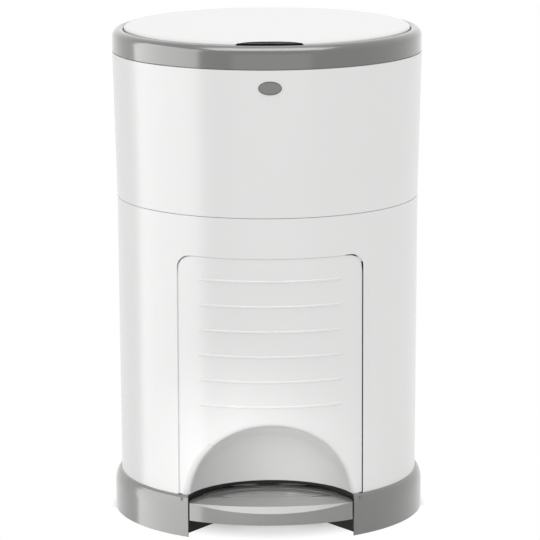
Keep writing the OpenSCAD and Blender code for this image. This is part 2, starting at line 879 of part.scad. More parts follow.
module upper_housing() {
    wall_foot = seam_z + seam_gap;
    wall_top = rim_z - 0.4;
    color(white) difference() {
        union() {
            difference() {
                skin(wall_foot, wall_top, 0, wall);
                box(-knuckle_notch, knuckle_notch, 100, big, seam_z, knuckle_z + knuckle_r + 1.4);
            }
            ring(neck_r, neck_r - neck_t, rim_z - 4, flange_z);
            for (a = boss_angles)
                at_angle(a, boss_at)
                    screw_boss(flange_z - 20, flange_z, 4.5, neck_r - neck_t + 1 - boss_at);
            for (s = [-1, 1]) {
                // outer knuckles of the seam hinge
                bar_x(s > 0 ? knuckle_mid + clear : -knuckle_end,
                    s > 0 ? knuckle_end : -knuckle_mid - clear, knuckle_y, knuckle_z, knuckle_r);
                intersection() {
                    box(s > 0 ? knuckle_mid + clear : -knuckle_end,
                        s > 0 ? knuckle_end : -knuckle_mid - clear,
                        knuckle_y - knuckle_r, knuckle_y + knuckle_r, knuckle_z, seam_z + 20);
                    core(seam_z, rim_z, -1.5);
                }
                // lugs of the latch's pivot
                intersection() {
                    box(s > 0 ? 10 : -13, s > 0 ? 13 : -10, -big, latch_y + 4.5,
                        latch_z - 6.5, latch_z + 6.5);
                    core(seam_z, rim_z, 1);
                }
            }
        }
        bar_x(-knuckle_end - 1, knuckle_end + 1, knuckle_y, knuckle_z, knuckle_pin_r);
        bar_x(-14, 14, latch_y, latch_z, 2);
        oval(button_w + 0.8, button_h + 0.8, -big, -120);
        for (a = boss_angles)
            at_angle(a, boss_at)
                post(0, 0, 1.5, flange_z - 12, flange_z + 1);
    }
}

module seam_hinge_pin() {
    color(steel) bar_x(-knuckle_end - 0.5, knuckle_end + 0.5, knuckle_y, knuckle_z, knuckle_pin_r);
}

module rim_ring() {
    arc = [
        for (a = [0 : 15 : 90])
            [rim_r - rim_round_w + rim_round_w * cos(a), rim_top - rim_round_h + rim_round_h * sin(a)]
    ];
    color(grey) rotate_extrude()
        polygon(concat([[rim_r - rim_skirt, rim_z], [rim_r - 0.5, rim_z], [rim_r, rim_z + 1.2]], arc,
            [[rim_hole_r + 0.5, rim_top - 1.5], [rim_hole_r, rim_top - 2.1],
            [rim_hole_r, flange_top], [rim_hole_r + 2.6, flange_top],
            [rim_hole_r + 2.6, rim_top - 2.8], [rim_r - 6, rim_top - 2.8],
            [rim_r - rim_skirt, rim_top - 6.3]]));
}

module upper_rod_guide() {
    lug_z = [skirt_z, flange_z - 24];
    color(white) difference() {
        union() {
            intersection() {
                box(-9, 9, rod_y + 12, big, lug_z[0], lug_z[1] + 4);
                core(seam_z, rim_z, wall);
            }
            for (z = lug_z)
                intersection() {
                    box(-9, 9, rod_y - 7, rod_y + 13, z, z + 4);
                    core(seam_z, rim_z, wall);
                }
        }
        post(0, rod_y, rod_r + clear, lug_z[0] - 1, flange_z);
    }
}

module chute() {
    color(white) difference() {
        union() {
            rotate_extrude()
                polygon([[mouth_r, flange_top], [flange_r, flange_top], [flange_r, flange_z],
                    [mouth_r + chute_t + 0.2, flange_z],
                    [throat_r + chute_t, throat_z + 7], [throat_r + chute_t, throat_z + chute_t],
                    [skirt_r, throat_z + chute_t], [skirt_r, skirt_z],
                    [skirt_r - chute_t, skirt_z], [skirt_r - chute_t, throat_z],
                    [throat_r, throat_z], [throat_r, throat_z + 8]]);
            for (s = [-1, 1]) {
                // ledge over the flap's hinge
                intersection() {
                    post(0, 0, throat_r + 1, throat_z, throat_z + chute_t, $fn = 96);
                    box(s > 0 ? flap_hinge_x - 4 : -big, s > 0 ? big : 4 - flap_hinge_x, -big, big,
                        throat_z - 1, throat_z + chute_t + 1);
                }
                for (t = [-1, 1])
                    box(s * flap_hinge_x - 3.5, s * flap_hinge_x + 3.5,
                        t > 0 ? flap_lug_y[0] : -flap_lug_y[1], t > 0 ? flap_lug_y[1] : -flap_lug_y[0],
                        flap_axis_z - 3.5, throat_z + 1);
            }
        }
        for (s = [-1, 1])
            bar_y(s * flap_hinge_x, -flap_lug_y[1] - 1, flap_lug_y[1] + 1, flap_axis_z, flap_pin_r);
        // slot for the push rod's head
        box(-7.5, 7.5, rod_y - 9.5, rod_y + 9.5, flange_z - 1, flange_top + 1);
        for (a = boss_angles)
            at_angle(a, boss_at)
                post(0, 0, 1.7, flange_z - 1, flange_top + 1);
    }
}

module chute_screws() {
    color(steel) for (a = boss_angles)
        at_angle(a, boss_at)
            translate([0, 0, flange_top])
                rotate([180, 0, 0])
                    screw(1.5, flange_t + 9);
}

module flap_pins() {
    color(steel) for (s = [-1, 1])
        bar_y(s * flap_hinge_x, -flap_lug_y[1], flap_lug_y[1], flap_axis_z, flap_pin_r);
}

module flap_springs() {
    color(steel) for (s = [-1, 1])
        translate([s * flap_hinge_x, flap_lug_y[0] - 0.3, flap_axis_z])
            rotate([90, 0, 0])
                coil(2.5, 0.45, 7.5, 5);
}

// A trap flap on the +X side; side = -1 gives the other one
module flap(side) {
    mirror([side < 0 ? 1 : 0, 0, 0])
        difference() {
            union() {
                translate([0, 0, flap_top - flap_t])
                    linear_extrude(flap_t)
                        difference() {
                            circle(r = flap_r, $fn = 128);
                            translate([-big, -big])
                                square([big + 0.3, 2 * big]);
                            translate([flap_hinge_x, -big])
                                square([big, 2 * big]);
                            for (t = [-1, 1])
                                translate([flap_hinge_x - 9, t > 0 ? flap_lug_y[0] - 1 : 1 - flap_lug_y[0] - big])
                                    square([20, big]);
                            translate([flap_hinge_x - 5, flap_lug_y[0] - 9])
                                square([10, 20]);
                        }
                bar_y(flap_hinge_x, 1 - flap_lug_y[0], flap_lug_y[0] - 9, flap_axis_z, flap_barrel_r);
                for (y = [-30, 26])
                    box(6, flap_hinge_x - 4, y, y + 2, flap_top - flap_t - 3, flap_top - flap_t + 0.5);
            }
            bar_y(flap_hinge_x, -flap_lug_y[1], flap_lug_y[1], flap_axis_z, flap_pin_r + pin_fit);
        }
}

module right_flap() {
    color(pale) flap(1);
}

module left_flap() {
    color(pale) flap(-1);
}

// ---------------------------------------------------------------- lid and upper push rod

module lid() {
    rings = 4;
    flat_r = lid_r - lid_round_w;
    in_r = lid_r - 2.2;
    top = [for (i = [0 : rings]) let (r = flat_r * i / rings) [r, lid_top(r)]];
    edge = [for (a = [15 : 15 : 90]) let (r = flat_r + lid_round_w * sin(a)) [r, lid_top(r)]];
    under = [for (i = [rings : -1 : 0]) let (r = flat_r * i / rings) [r, lid_top(r) - lid_t]];
    pocket_z = lid_top(slot_back) - slot_lip;
    pocket_y = slot_reach - slot_back;
    color(white) difference() {
        union() {
            rotate_extrude()
                polygon(concat(top, edge, [[lid_r, lid_skirt_z], [in_r, lid_skirt_z],
                    [in_r, lid_top(in_r) - lid_t]], under));
            // walls round the pocket behind the finger slot
            intersection() {
                box(-slot_w / 2 - 1, slot_w / 2 + 1, -big, pocket_y + 2, lid_skirt_z, pocket_z - 0.4);
                post(0, 0, in_r + 1, lid_skirt_z, pocket_z, $fn = 96);
            }
            bar_x(-lid_bar_half, lid_bar_half, lid_axis_y, lid_axis_z, lid_barrel_r);
        }
        // finger slot: a shallow hollow in the lid's edge, and the pocket that it opens
        post(0, -slot_back - slot_r, slot_r, lid_skirt_z - 1, lid_edge_z + 5, $fn = 180);
        box(1 - slot_w / 2, slot_w / 2 - 1, -big, pocket_y, lid_skirt_z - 1, pocket_z);
        for (s = [-1, 1])
            box(s > 0 ? ear_gap[0] : -ear_gap[1], s > 0 ? ear_gap[1] : -ear_gap[0],
                lid_axis_y - 3.8, big, lid_axis_z - lid_barrel_r - 1, lid_edge_z + 5);
        bar_x(-lid_bar_half - 1, lid_bar_half + 1, lid_axis_y, lid_axis_z, lid_pin_r);
    }
}

module lid_hinge_pin() {
    color(steel) bar_x(-lid_pin_half, lid_pin_half, lid_axis_y, lid_axis_z, lid_pin_r);
}

module lid_hinge_brackets() {
    ear = [ear_gap[0] + clear, ear_gap[1] - clear];
    color(steel) difference() {
        for (s = [-1, 1]) {
            bar_x(s > 0 ? ear[0] : -ear[1], s > 0 ? ear[1] : -ear[0], lid_axis_y, lid_axis_z,
                lid_barrel_r);
            box(s > 0 ? ear[0] : -ear[1], s > 0 ? ear[1] : -ear[0],
                lid_axis_y - lid_barrel_r, lid_axis_y + lid_barrel_r, flange_top, lid_axis_z);
            box(s > 0 ? ear[0] : -ear[1] - 2.5, s > 0 ? ear[1] + 2.5 : -ear[0],
                lid_axis_y - 3, lid_axis_y + lid_barrel_r, flange_top, flange_top + 1.2);
        }
        bar_x(-lid_bar_half - 1, lid_bar_half + 1, lid_axis_y, lid_axis_z, lid_pin_r + pin_fit);
    }
}

module lid_liner() {
    low = flange_top + 1;
    color(white) {
        ring(liner_r, liner_r - 2, low, lid_top(liner_r) - lid_t);
        post(0, 0, liner_r - 1, low, low + 1.8, $fn = 96);
    }
}

module lid_seal() {
    seal_r = liner_r + 4;
    low = flange_top + clear;
    high = lid_top(seal_r) - lid_t;
    color(grey) rotate_extrude()
        polygon([[liner_r, low + 1], [liner_r + 2, low], [seal_r, low + 1], [seal_r, high],
            [liner_r, high]]);
}

module lid_lever() {
    under = lid_top(lid_r - 9) - lid_t;
    color(steel) {
        box(-6, 6, rod_y - 12, rod_y + 7, under - 1, under);
        translate([-2, 0, 0])
            rotate([90, 0, 90])
                linear_extrude(4)
                    polygon([[crank_y - 11, under - 0.5], [crank_y + 7, under - 0.5],
                        [crank_y + 2.8, crank_z - 1.6], [crank_y + 1, crank_z - 2.9],
                        [crank_y - 1.6, crank_z - 2.6], [crank_y - 3.2, crank_z + 0.4]]);
        bar_x(-7, 7, crank_y, crank_z, crank_pin_r);
    }
}

module upper_push_rod() {
    head_z = crank_z - 11;
    side_play = 0.4;                    // in the slot, along the crank pin's sideways path
    lift_play = 0.6;                    // in the slot, for the crank's arc against a straight lift
    slot_y0 = lid_axis_y - crank_r - crank_pin_r - side_play;
    slot_y1 = crank_y + crank_pin_r + side_play;
    slot_h = 2 * (crank_pin_r + lift_play);
    color(steel) {
        post(0, rod_y, rod_r, seam_z + 0.2, head_z + 1);
        difference() {
            box(-6, 6, slot_y0 - 2.6, slot_y1 + 1.3, head_z, crank_z + slot_h / 2 + 1.8);
            box(-3, 3, slot_y0 - 4, slot_y1 + 4, head_z + 4.4, crank_z + 10);
            box(-7, 7, slot_y0, slot_y1, crank_z - slot_h / 2, crank_z + slot_h / 2);
        }
    }
}

// ---------------------------------------------------------------- button and latch

module release_button() {
    front = -(body_radius(button_z) + 0.8);
    bulge_r = 60;
    color(grey) {
        intersection() {
            oval(button_w, button_h, front - 1, latch_y - 5);
            translate([0, front + bulge_r, button_z])
                sphere(r = bulge_r, $fn = 180);
        }
        oval(button_w + 3, button_h + 3, latch_y - 7, latch_y - 5);
        bar_y(0, latch_y - 5.5, latch_y - latch_t / 2 - clear, button_z, 3);
    }
}

module latch_lever() {
    front = latch_y - latch_t / 2;
    color(grey) difference() {
        union() {
            box(-5, 5, front, front + latch_t, seam_z + 0.6, button_z + 4);
            bar_x(-5, 5, latch_y, latch_z, 4.2);
            box(-6, 6, front + 1, latch_y + 6.85, hook_z, hook_z + hook_h);
        }
        bar_x(-6, 6, latch_y, latch_z, 2 + pin_fit);
    }
}

module latch_pivot_pin() {
    color(steel) bar_x(-13.5, 13.5, latch_y, latch_z, 2);
}

module latch_spring() {
    color(steel) translate([5.3, latch_y, latch_z])
        rotate([0, 90, 0])
            coil(3, 0.4, 4.4, 3);
}

base_ring();
rubber_feet();
base_screws();
pedal_axle();
return_spring();
lower_housing();
toe_dome();
cassette_deck();
cassette_tray();
film_pack();
cassette_cover();
latch_strike();
lower_rod_guide();
seam_hinge_pin();
pedal_pad();
pedal_lever();
pedal_screws();
lower_push_rod();
front_door();
door_hinge_pins();
film_cutter();
cutter_blade();
upper_housing();
rim_ring();
chute();
chute_screws();
flap_pins();
flap_springs();
lid_hinge_brackets();
lid_hinge_pin();
upper_rod_guide();
latch_pivot_pin();
latch_spring();
upper_push_rod();
lid();
lid_liner();
lid_seal();
lid_lever();
release_button();
latch_lever();
left_flap();
right_flap();
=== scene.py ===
# %% [markdown]
# # Dressing a pedal nappy bin
# The bin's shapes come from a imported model, which is loaded as a fixed frame. This lesson gives
# that frame its looks: moulded plastic finishes, softened edges, studio light and a camera.
# Every new piece rides on one of the frame's bodies, so it moves as the real piece does.

# %% Load the frame
import bpy
import math
from mathutils import Matrix, Vector


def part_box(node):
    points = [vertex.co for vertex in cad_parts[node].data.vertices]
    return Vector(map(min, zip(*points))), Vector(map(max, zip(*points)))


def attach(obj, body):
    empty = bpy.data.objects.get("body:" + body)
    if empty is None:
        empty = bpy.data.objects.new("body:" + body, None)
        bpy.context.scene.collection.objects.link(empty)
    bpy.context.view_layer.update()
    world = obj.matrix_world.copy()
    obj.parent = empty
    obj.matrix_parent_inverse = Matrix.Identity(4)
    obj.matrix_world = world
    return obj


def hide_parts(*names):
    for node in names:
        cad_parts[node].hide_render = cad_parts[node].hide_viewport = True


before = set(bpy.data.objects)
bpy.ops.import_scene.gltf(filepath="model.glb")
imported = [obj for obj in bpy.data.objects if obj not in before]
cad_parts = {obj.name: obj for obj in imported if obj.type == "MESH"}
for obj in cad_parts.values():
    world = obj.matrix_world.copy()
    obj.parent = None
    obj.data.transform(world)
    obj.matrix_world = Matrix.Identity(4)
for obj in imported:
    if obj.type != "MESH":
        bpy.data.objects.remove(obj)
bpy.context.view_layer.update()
scene = bpy.context.scene

# %% [markdown]
# ## Reading the sizes
# The look of each piece has to sit exactly on the frame, so the sizes that several cells need
# are read from the frame's own boxes and not typed in again.

# %% Sizes from the frame
def low(node):
    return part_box(node)[0]


def high(node):
    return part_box(node)[1]


BIN_RADIUS = high("base_ring").x
BASE_TOP = low("lower_housing").z
RIM_TOP = high("rim_ring").z
print("radius", round(BIN_RADIUS * 1000, 1), "mm, rim top", round(RIM_TOP * 1000, 1), "mm")

# %% [markdown]
# ## Shader maths as plain Python
# A finish is easier to read when its maths looks like maths. One small class wraps a node's
# output socket: adding or multiplying two of them adds the Math node. One method makes any
# other node from its type, its settings and the values or links of its sockets.

# %% A wrapped socket and a material with one node method
class Wire:
    def __init__(self, finish, socket):
        self.finish = finish
        self.socket = socket

    def _math(self, operation, *inputs):
        return self.finish.node("ShaderNodeMath", {"operation": operation}, dict(enumerate(inputs)))

    def __add__(self, other):
        return self._math("ADD", self, other)

    def __radd__(self, other):
        return self._math("ADD", other, self)

    def __sub__(self, other):
        return self._math("SUBTRACT", self, other)

    def __rsub__(self, other):
        return self._math("SUBTRACT", other, self)

    def __mul__(self, other):
        return self._math("MULTIPLY", self, other)

    def __rmul__(self, other):
        return self._math("MULTIPLY", other, self)

    def __truediv__(self, other):
        return self._math("DIVIDE", self, other)

    def __lt__(self, other):
        return self._math("LESS_THAN", self, other)

    def clamp(self):
        return self.finish.node("ShaderNodeClamp", {}, {"Value": self})

    def size(self):
        return self._math("ABSOLUTE", self)


class Finish:
    def __init__(self, name):
        self.material = bpy.data.materials.new(name)
        self.material.use_nodes = True
        self.tree = self.material.node_tree
        self.tree.nodes.clear()
        self.place = self.node("ShaderNodeTexCoord", {}, {}, "Object")

    def node(self, kind, settings, inputs, output=0):
        made = self.tree.nodes.new(kind)
        for key, value in settings.items():
            setattr(made, key, value)
        for key, value in inputs.items():
            if isinstance(value, Wire):
                self.tree.links.new(value.socket, made.inputs[key])
            else:
                made.inputs[key].default_value = value
        return Wire(self, made.outputs[output])

    def axis(self, index):
        return self.node("ShaderNodeSeparateXYZ", {}, {"Vector": self.place}, index)

    def noise(self, scale, detail=2.0, stretch=(1, 1, 1)):
        at = self.node("ShaderNodeMapping", {}, {"Vector": self.place, "Scale": stretch})
        return self.node("ShaderNodeTexNoise", {}, {"Vector": at, "Scale": scale, "Detail": detail})

    def mix(self, amount, first, second):
        made = self.tree.nodes.new("ShaderNodeMix")
        made.data_type = "RGBA"
        for key, value in ((0, amount), (6, first), (7, second)):
            if isinstance(value, Wire):
                self.tree.links.new(value.socket, made.inputs[key])
            elif key == 0:
                made.inputs[key].default_value = value
            else:
                made.inputs[key].default_value = (*value, 1)
        return Wire(self, made.outputs[2])

    def bump(self, height, distance, strength):
        sockets = {"Height": height, "Distance": distance, "Strength": strength}
        return self.node("ShaderNodeBump", {}, sockets)

    def surface(self, **sockets):
        names = {key.replace("_", " "): value for key, value in sockets.items()}
        shader = self.node("ShaderNodeBsdfPrincipled", {}, names)
        self.end_in(shader)
        return self.material

    def end_in(self, shader):
        output = self.tree.nodes.new("ShaderNodeOutputMaterial")
        self.tree.links.new(shader.socket, output.inputs["Surface"])


def wear(finish, *nodes):
    for name in nodes:
        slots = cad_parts[name].data.materials
        slots.clear()
        slots.append(finish)
    print(finish.name, "on", ", ".join(nodes))


# %% [markdown]
# ## White moulded shell
# The housings, door and lid are injection moulded in white plastic with a satin gloss. The real
# skin isn't perfectly even: it has a very fine spark-eroded grain over a slight waviness, and
# broad faint changes of gloss and tint where the wall cooled at different speeds. All of them
# come from noise in the object's place.

# %% White plastic
COOLING_SCALE = 9
PEEL_SCALE = 130
PEEL_HEIGHT = 0.00002
GRAIN_SCALE = 2600
GLOSS_SPREAD = 0.08
COAT_ROUGHNESS = 0.12
# Painted shade: a near-black colour and extra roughness, painted where light hardly reaches inside a pocket.
PAINTED_SHADE_BLACK = (0.012, 0.012, 0.012)
PAINTED_SHADE_ROUGHNESS = 0.6


def moulded(name, colour, tint, roughness, grain, coat=0.0, inside=None):
    finish = Finish(name)
    broad = finish.noise(COOLING_SCALE, 3)
    fine = finish.noise(GRAIN_SCALE, 1)
    peel = finish.bump(finish.noise(PEEL_SCALE, 1), PEEL_HEIGHT, 0.6)
    grain_sockets = {"Height": fine, "Distance": grain, "Strength": 0.5, "Normal": peel}
    skin = finish.node("ShaderNodeBump", {}, grain_sockets)
    skin_colour = finish.mix(broad, colour, tint)
    gloss = roughness + (broad - 0.5) * GLOSS_SPREAD
    # inside, when given, is a mask of painted shade: there the colour is painted near-black, the gloss is
    # dulled and the coat is taken off.
    if inside:
        shade_mask = inside(finish)
        skin_colour = finish.mix(shade_mask, skin_colour, PAINTED_SHADE_BLACK)
        gloss = gloss + shade_mask * PAINTED_SHADE_ROUGHNESS
        coat = (1 - shade_mask) * coat
    return finish.surface(
        Base_Color=skin_colour,
        Roughness=gloss,
        Specular_IOR_Level=0.5,
        Coat_Weight=coat,
        Coat_Roughness=COAT_ROUGHNESS,
        Normal=skin,
    )


WHITE = ((0.84, 0.84, 0.835), (0.825, 0.825, 0.82))
WHITE_ROUGHNESS = 0.24
WHITE_GRAIN = 0.000008
SHELL_WHITE = moulded("shell_white", *WHITE, WHITE_ROUGHNESS, WHITE_GRAIN)
wear(SHELL_WHITE, "lower_housing", "upper_housing", "front_door", "toe_dome", "chute", "cassette_deck",
     "upper_rod_guide")

# %% [markdown]
# The lid is the same white, but the pocket behind its finger slot is painted black, as painted shade for the
# shade inside it. The slot is a shallow arc cut from the lid's edge, so the painted shade starts at that arc,
# and under the lip.

# %% White lid with painted shade in its pocket
SLOT_MIDDLE_Y = -0.3780
SLOT_RADIUS = 0.2459
SLOT_OVERLAP = 0.0002
SLOT_HALF = 0.031
POCKET_BACK_Y = -0.1262
POCKET_TOP = 0.4737


# Mask of the painted shade: the slot's arc and the space under the lip.
def pocket_painted_shade(finish):
    x, y, z = finish.axis(0), finish.axis(1), finish.axis(2)
    squared = x * x + (y - SLOT_MIDDLE_Y) * (y - SLOT_MIDDLE_Y)
    from_middle = finish.node("ShaderNodeMath", {"operation": "SQRT"}, {0: squared})
    arc = from_middle < SLOT_RADIUS + SLOT_OVERLAP
    under_lip = (x.size() < SLOT_HALF) * (y < POCKET_BACK_Y) * (z < POCKET_TOP)
    return (arc + under_lip).clamp()


# The lid's white carries painted shade, black in the finger pocket.
LID_WHITE_WITH_PAINTED_SHADE = moulded("lid_white_with_painted_shade", *WHITE, WHITE_ROUGHNESS, WHITE_GRAIN, inside=pocket_painted_shade)
wear(LID_WHITE_WITH_PAINTED_SHADE, "lid", "lid_liner")

# %% [markdown]
# ## Grey moulded trim
# The rim, button, pedal and base ring are one warm grey plastic with a clear gloss over it. The pedal and the
# base ring get lighter copies of that grey: painted light, for the light that they get low down by the floor.
# The inside of the bay that the pedal moves in is painted black, as painted shade, since hardly any light
# comes back out of it.

# %% Grey plastic
GREY_GRAIN = 0.00001
TRIM_GREY = moulded("trim_grey", (0.150, 0.150, 0.141), (0.140, 0.140, 0.132), 0.22, GREY_GRAIN, coat=1.0)
wear(TRIM_GREY, "rim_ring", "release_button", "film_cutter", "latch_lever")
# Painted light: the pedal wears a lighter copy of the trim grey, for the light it gets near the floor.
PEDAL_GREY_PAINTED_LIGHT = moulded("pedal_grey_painted_light", (0.240, 0.240, 0.230), (0.222, 0.222, 0.213), 0.24, GREY_GRAIN, coat=0.8)
wear(PEDAL_GREY_PAINTED_LIGHT, "pedal_pad")

BAY_HALF = 0.0790
BAY_DEPTH = -0.050
BAY_TOP = 0.0397


# Mask of the painted shade inside the pedal's bay.
def bay_painted_shade(finish):
    x, y, z = finish.axis(0), finish.axis(1), finish.axis(2)
    return (x.size() < BAY_HALF) * (y < BAY_DEPTH) * (z < BAY_TOP)


# Painted light and shade: the base ring wears a lighter copy of the trim grey for the light it gets near the
# floor, and the inside of the pedal's bay is painted black as painted shade.
BASE_GREY_PAINTED_LIGHT_AND_SHADE = moulded("base_grey_painted_light_and_shade", (0.182, 0.182, 0.173), (0.169, 0.169, 0.161), 0.28, GREY_GRAIN,
                    coat=0.8, inside=bay_painted_shade)
wear(BASE_GREY_PAINTED_LIGHT_AND_SHADE, "base_ring")

# %% [markdown]
# ## Pale plastic, film, steel and rubber
# The cassette and the trap flaps are milky plastic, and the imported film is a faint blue. Pins,
# rods, levers and screws are zinc plated, with fine upright brush lines. Springs and the
# cutter's blade are brighter. The feet and the lid's seal are rubber.

# %% The inner pieces
BRUSH_SCALE = 900
BRUSH_STRETCH = (1, 1, 0.06)
BRUSH_DARK = 0.85
PALE = moulded("milky_plastic", (0.60, 0.62, 0.63), (0.57, 0.59, 0.60), 0.42, 0.00002)
wear(PALE, "cassette_tray", "cassette_cover", "left_flap", "right_flap", "lower_rod_guide")
FILM = moulded("film_pleats", (0.66, 0.72, 0.80), (0.60, 0.67, 0.76), 0.3, 0.00002)
wear(FILM, "film_pack")


def plated(name, colour, roughness):
    finish = Finish(name)
    brushed = finish.noise(BRUSH_SCALE, 2, BRUSH_STRETCH)
    return finish.surface(
        Base_Color=finish.mix(brushed, colour, tuple(c * BRUSH_DARK for c in colour)),
        Metallic=1.0,
        Roughness=roughness + brushed * 0.12,
        Normal=finish.bump(brushed, 0.00001, 0.5),
    )


STEEL = plated("zinc_plate", (0.62, 0.63, 0.65), 0.25)
wear(STEEL, "base_screws", "pedal_axle", "seam_hinge_pin", "pedal_lever", "pedal_screws", "lower_push_rod",
     "door_hinge_pins", "chute_screws", "flap_pins", "lid_hinge_brackets", "lid_hinge_pin",
     "latch_pivot_pin", "upper_push_rod", "lid_lever", "latch_strike")
BRIGHT = plated("bright_wire", (0.7, 0.7, 0.72), 0.15)
wear(BRIGHT, "return_spring", "flap_springs", "latch_spring", "cutter_blade")
RUBBER = moulded("black_rubber", (0.02, 0.02, 0.02), (0.03, 0.03, 0.03), 0.7, 0.00005)
wear(RUBBER, "rubber_feet")
SEAL = moulded("grey_rubber", (0.2, 0.2, 0.19), (0.18, 0.18, 0.17), 0.6, 0.00003)
wear(SEAL, "lid_seal")

# %% [markdown]
# ## Door and toe recess
# On the real bin the front door runs down on both sides of a domed recess for the toes. The edge
# where the flat wall turns into the dome is a soft round, which a boolean and a bevel can't make
# cleanly on two curved faces. So the door is built along rays from the dome's middle: each ray
# walks over the dome, round a fillet that touches both faces, and out over the wall to the
# door's edge, which is rounded too. The door and the fixed dome below it come from one surface.

# %% Where the wall and the dome are
FOOT_RADIUS = 0.1439
SEAM_RADIUS = high("lower_housing").x
SEAM_HEIGHT = 0.3116
DOOR_RECESS = 0.00115
DOOR_MARGIN = 0.00045
DOOR_HALF = high("front_door").x - DOOR_MARGIN
DOOR_TOP = high("front_door").z - DOOR_MARGIN
DOOR_FOOT = low("front_door").z
DOOR_CORNER = 0.0135
TOE_RADIUS = 0.084
TOE_MIDDLE = Vector((0, -0.1464, 0.028))
TOE_SPLIT = high("toe_dome").z
TOE_FILLET = 0.005


def housing_radius(z):
    share = (z - BASE_TOP) / (SEAM_HEIGHT - BASE_TOP)
    return FOOT_RADIUS + (SEAM_RADIUS - FOOT_RADIUS) * share


def wall_y(x, z, inward=0.0):
    return -math.sqrt((housing_radius(z) - DOOR_RECESS - inward) ** 2 - x * x)


print("door half width", round(DOOR_HALF * 1000, 2), "mm, top", round(DOOR_TOP * 1000, 2), "mm")


# %% [markdown]
# Where a ray meets the fillet and the door's edge has no plain formula. Both are found by
# halving the span between a point that is near enough and one that is too far.

# %% One ray of the door's surface
DOME_STEPS = 20
FILLET_STEPS = 8
WALL_STEPS = 16
EDGE_STEPS = 4
EDGE_ROUND = 0.0003
LEAST_FLAT = 0.0002
SLOPE_STEP = 0.0001
FILLET_SPAN = (0.05, 0.095)
FARTHEST_RIM = 0.35


def halve(too_far, near, far):
    """The distance at which too_far turns true."""
    for _ in range(40):
        middle = (near + far) / 2
        near, far = (near, middle) if too_far(middle) else (middle, far)
    return near


def outside_door(x, z):
    corner_x = abs(x) - (DOOR_HALF - DOOR_CORNER)
    corner_z = z - (DOOR_TOP - DOOR_CORNER)
    if corner_x > 0 and corner_z > 0:
        return math.hypot(corner_x, corner_z) > DOOR_CORNER
    return max(corner_x, corner_z) > DOOR_CORNER


def fillet_of(across, up):
    """Middle of the fillet's circle on a ray, and where it touches the wall, as (distance, y)."""
    def wall(s):
        return wall_y(s * across, TOE_MIDDLE.z + s * up)

    def middle_at(s):
        slope = (wall(s + SLOPE_STEP) - wall(s - SLOPE_STEP)) / (2 * SLOPE_STEP)
        return wall(s) + TOE_FILLET * math.hypot(1, slope), slope

    def too_far(s):
        return math.hypot(s, middle_at(s)[0] - TOE_MIDDLE.y) > TOE_RADIUS + TOE_FILLET

    s = halve(too_far, *FILLET_SPAN)
    y, slope = middle_at(s)
    length = math.hypot(1, slope)
    return s, y, s + TOE_FILLET * slope / length, y - TOE_FILLET / length


def arc(middle, radius, first, turn, steps):
    """Points of an arc after its first, as (distance, y)."""
    angles = [first + turn * i / steps for i in range(1, steps + 1)]
    return [(middle[0] + radius * math.cos(a), middle[1] + radius * math.sin(a)) for a in angles]


def ray_points(angle):
    across, up = math.cos(angle), math.sin(angle)

    def place(d):
        return d * across, TOE_MIDDLE.z + d * up

    s, y, wall_s, wall_start = fillet_of(across, up)
    touch = math.atan2(s, y - TOE_MIDDLE.y)
    dome = arc((0, TOE_MIDDLE.y), TOE_RADIUS, math.pi / 2, -touch, DOME_STEPS)
    first = math.atan2(TOE_MIDDLE.y - y, -s)
    last = math.atan2(wall_start - y, wall_s - s)
    turn = (last - first + math.pi) % (2 * math.pi) - math.pi
    bend = arc((s, y), TOE_FILLET, first, turn, FILLET_STEPS)
    rim_s = halve(lambda far: outside_door(*place(far)), wall_s, FARTHEST_RIM)
    flat_end = max(rim_s - EDGE_ROUND, wall_s + LEAST_FLAT)
    wall = [(wall_s + (flat_end - wall_s) * i / WALL_STEPS, 0) for i in range(1, WALL_STEPS + 1)]
    for i in range(1, EDGE_STEPS + 1):
        lean = math.pi / 2 * i / EDGE_STEPS
        wall.append((flat_end + (rim_s - flat_end) * math.sin(lean), EDGE_ROUND * (1 - math.cos(lean))))
    points = [Vector((place(d)[0], depth, place(d)[1])) for d, depth in dome + bend]
    return points + [Vector((place(d)[0], wall_y(*place(d), inward), place(d)[1])) for d, inward in wall]


print("points on a ray:", len(ray_points(math.pi / 2)))


# %% [markdown]
# Rays side by side make the surface. The fixed recess is its part below the split, and the door
# is the rest. Both are given their wall's thickness. The helpers here serve the later pieces too.

# %% The surface as a mesh, cut to its parts
def new_piece(name, points, faces):
    mesh = bpy.data.meshes.new(name)
    mesh.from_pydata(points, [], faces)
    piece = bpy.data.objects.new(name, mesh)
    scene.collection.objects.link(piece)
    return piece


def only(piece):
    if bpy.context.object and bpy.context.object.mode != "OBJECT":
        bpy.ops.object.mode_set(mode="OBJECT")
    bpy.ops.object.select_all(action="DESELECT")
    piece.select_set(True)
    bpy.context.view_layer.objects.active = piece


def trim(piece, place, normal):
    """Keeps what lies on the side that the normal points away from."""
    only(piece)
    bpy.ops.object.mode_set(mode="EDIT")
    bpy.ops.mesh.select_all(action="SELECT")
    bpy.ops.mesh.bisect(plane_co=place, plane_no=normal, clear_outer=True)
    bpy.ops.object.mode_set(mode="OBJECT")


def turn_outward(piece, merge=0.0):
    """Merges points nearer than merge and turns the normals out."""
    only(piece)
    bpy.ops.object.mode_set(mode="EDIT")
    bpy.ops.mesh.select_all(action="SELECT")
    if merge:
        bpy.ops.mesh.remove_doubles(threshold=merge)
    bpy.ops.mesh.normals_make_consistent(inside=False)
    bpy.ops.object.mode_set(mode="OBJECT")


def join(name, pieces):
    only(pieces[0])
    for piece in pieces[1:]:
        piece.select_set(True)
    bpy.ops.object.join()
    pieces[0].name = name
    return pieces[0]


def modify(piece, kind, **settings):
    only(piece)
    modifier = piece.modifiers.new(kind.title(), kind)
    for key, value in settings.items():
        setattr(modifier, key, value)
    bpy.ops.object.modifier_apply(modifier=modifier.name)


